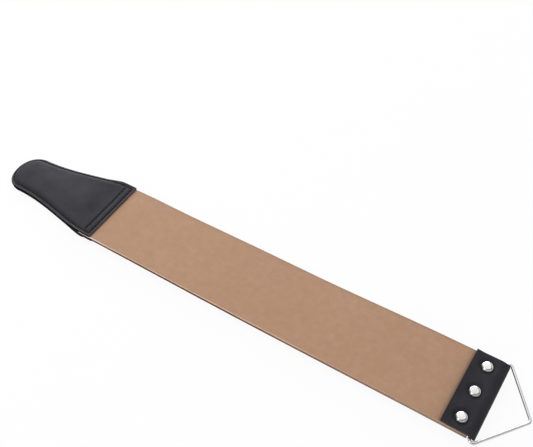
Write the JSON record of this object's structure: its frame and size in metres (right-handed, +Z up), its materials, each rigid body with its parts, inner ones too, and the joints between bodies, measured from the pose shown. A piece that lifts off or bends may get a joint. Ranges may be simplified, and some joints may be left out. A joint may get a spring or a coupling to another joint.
{
  "type": "leather strop",
  "caption": "Leather razor strop: flat two-layer tan strap with a padded, stitched black handle at one end and a wire triangle in a riveted black leather fold at the other.",
  "frame": {"origin": "on the table plane, under the middle of the strop's box", "axes": "+X along the strop from the handle to the hanging ring, +Y across the strap, +Z up from the table"},
  "size_m": [0.4554, 0.0636, 0.0109],
  "materials": {
    "tan_leather": "smooth tan leather, fine grain, matt",
    "backing_leather": "brown flesh-side leather, matt",
    "black_leather": "black dyed leather, soft sheen",
    "core_felt": "grey felt filler",
    "black_thread": "black waxed sewing thread",
    "nickel": "polished nickel plate",
    "steel_wire": "bright plated steel wire"
  },
  "bodies": {
    "strop": {"strop_face": "tan_leather", "strop_backing": "backing_leather", "handle_top_cover": "black_leather", "handle_bottom_cover": "black_leather", "handle_core": "core_felt", "edge_seam_top": "black_thread", "edge_seam_bottom": "black_thread", "cross_seam_top": "black_thread", "cross_seam_bottom": "black_thread", "end_band": "black_leather", "rivet_cap_back": "nickel", "rivet_cap_middle": "nickel", "rivet_cap_front": "nickel", "rivet_post_back": "nickel", "rivet_post_middle": "nickel", "rivet_post_front": "nickel"},
    "ring": {"hanging_ring": "steel_wire"}
  },
  "joints": [
    {"name": "ring_swing", "type": "hinge", "parent": "strop", "child": "ring", "pos_m": [0.19955, 0, 0.0053], "axis": [0, 1, 0], "range_deg": [-90, 105]}
  ]
}
